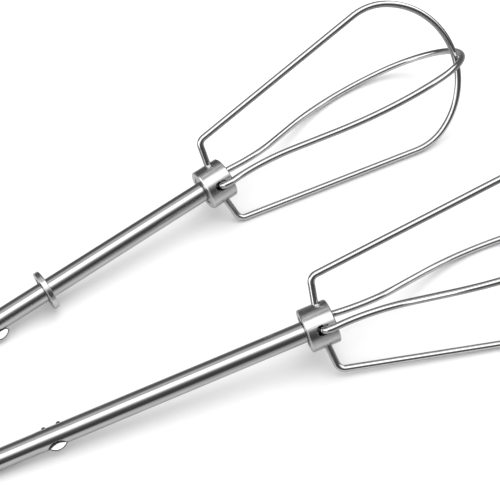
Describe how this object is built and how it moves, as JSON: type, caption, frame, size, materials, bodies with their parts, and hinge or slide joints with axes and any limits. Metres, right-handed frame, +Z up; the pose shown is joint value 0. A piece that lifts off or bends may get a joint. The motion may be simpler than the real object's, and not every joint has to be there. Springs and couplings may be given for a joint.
{
  "type": "hand mixer beater pair",
  "caption": "Matched wire beaters for a hand mixer: each a round shaft with a coined ear, a thick hub and crossed wire loops, and a collar on one shaft to tell them apart.",
  "frame": {"origin": "centre of the pair's footprint, on the table", "axes": "+Z up, +X along the collared beater from its drive end to its tip, +Y from the plain beater to the collared one"},
  "size_m": [0.1966, 0.1206, 0.0415],
  "materials": {
    "shaft": "polished round stainless steel rod",
    "hub": "turned and polished stainless steel with fine streaks",
    "wire": "polished stainless steel wire",
    "collar": "turned and polished stainless steel"
  },
  "bodies": {
    "collared_beater": {"collared_shaft": "shaft", "collared_hub": "hub", "collared_outer_loop": "wire", "collared_inner_loop": "wire", "collar_ring": "collar"},
    "plain_beater": {"plain_shaft": "shaft", "plain_hub": "hub", "plain_outer_loop": "wire", "plain_inner_loop": "wire"}
  },
  "joints": [
    {"name": "plain_beater_lift", "type": "slide", "parent": "collared_beater", "child": "plain_beater", "axis": [0, 0, 1], "range_m": [0, 0.06]}
  ]
}
